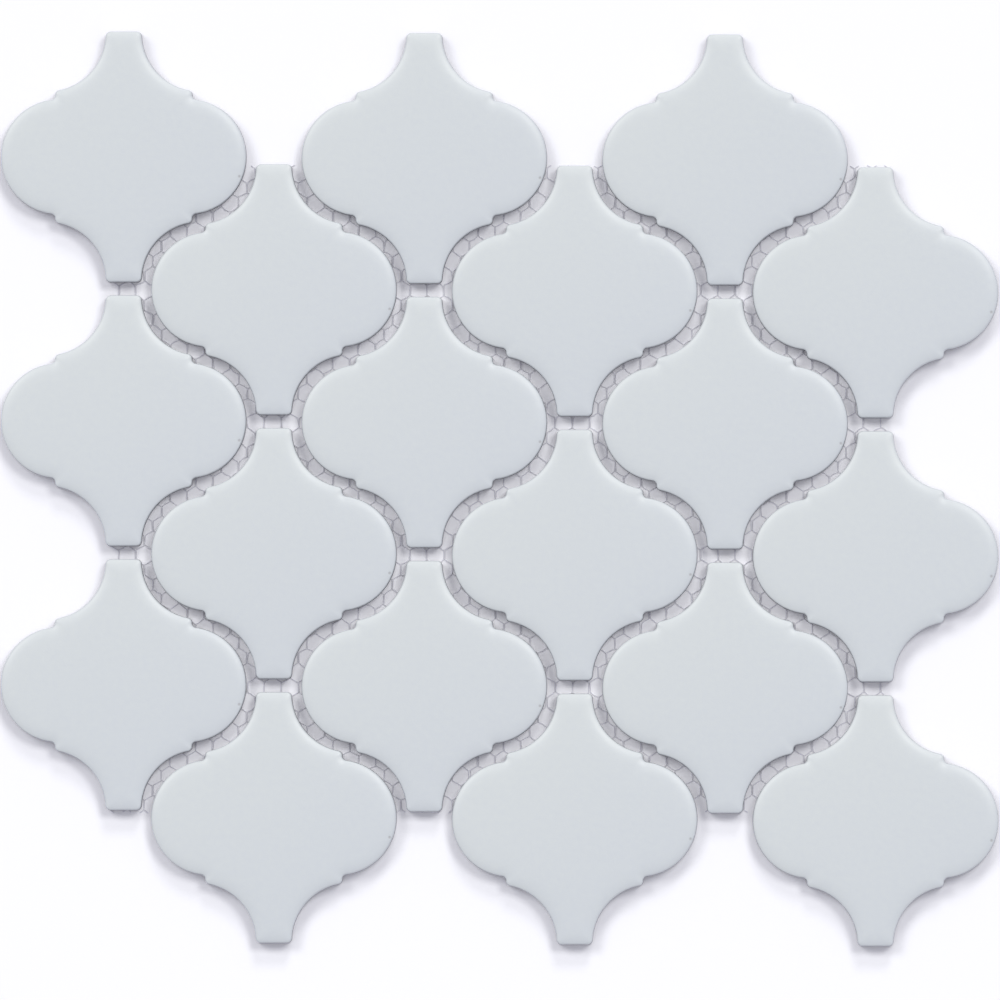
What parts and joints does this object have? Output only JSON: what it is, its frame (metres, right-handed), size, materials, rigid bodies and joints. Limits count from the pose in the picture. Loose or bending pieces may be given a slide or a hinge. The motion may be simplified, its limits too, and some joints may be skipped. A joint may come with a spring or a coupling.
{
  "type": "arabesque mosaic tile sheet",
  "caption": "Flat mosaic sheet of interlocking lantern-shaped porcelain tiles, glued in staggered rows to a thin net backing with open joints for grout.",
  "frame": {"origin": "middle of the sheet's outline, on the plane that the net's underside rests on", "axes": "+X along the tile rows to the right, +Y up the sheet as in the picture, +Z out of the tile faces"},
  "size_m": [0.268, 0.246, 0.0064],
  "materials": {
    "tile_face": "matte, pale bluish white",
    "backing_net": "thin open net, pale grey"
  },
  "bodies": {
    "root": {"tile_row1_left": "tile_face", "tile_row1_middle": "tile_face", "tile_row1_right": "tile_face", "tile_row2_left": "tile_face", "tile_row2_middle": "tile_face", "tile_row2_right": "tile_face", "tile_row3_left": "tile_face", "tile_row3_middle": "tile_face", "tile_row3_right": "tile_face", "tile_row4_left": "tile_face", "tile_row4_middle": "tile_face", "tile_row4_right": "tile_face", "tile_row5_left": "tile_face", "tile_row5_middle": "tile_face", "tile_row5_right": "tile_face", "tile_row6_left": "tile_face", "tile_row6_middle": "tile_face", "tile_row6_right": "tile_face", "backing_net_01": "backing_net", "backing_net_02": "backing_net", "backing_net_03": "backing_net", "backing_net_04": "backing_net", "backing_net_05": "backing_net", "backing_net_06": "backing_net", "backing_net_07": "backing_net", "backing_net_08": "backing_net", "backing_net_09": "backing_net", "backing_net_10": "backing_net", "backing_net_11": "backing_net"}
  },
  "joints": []
}
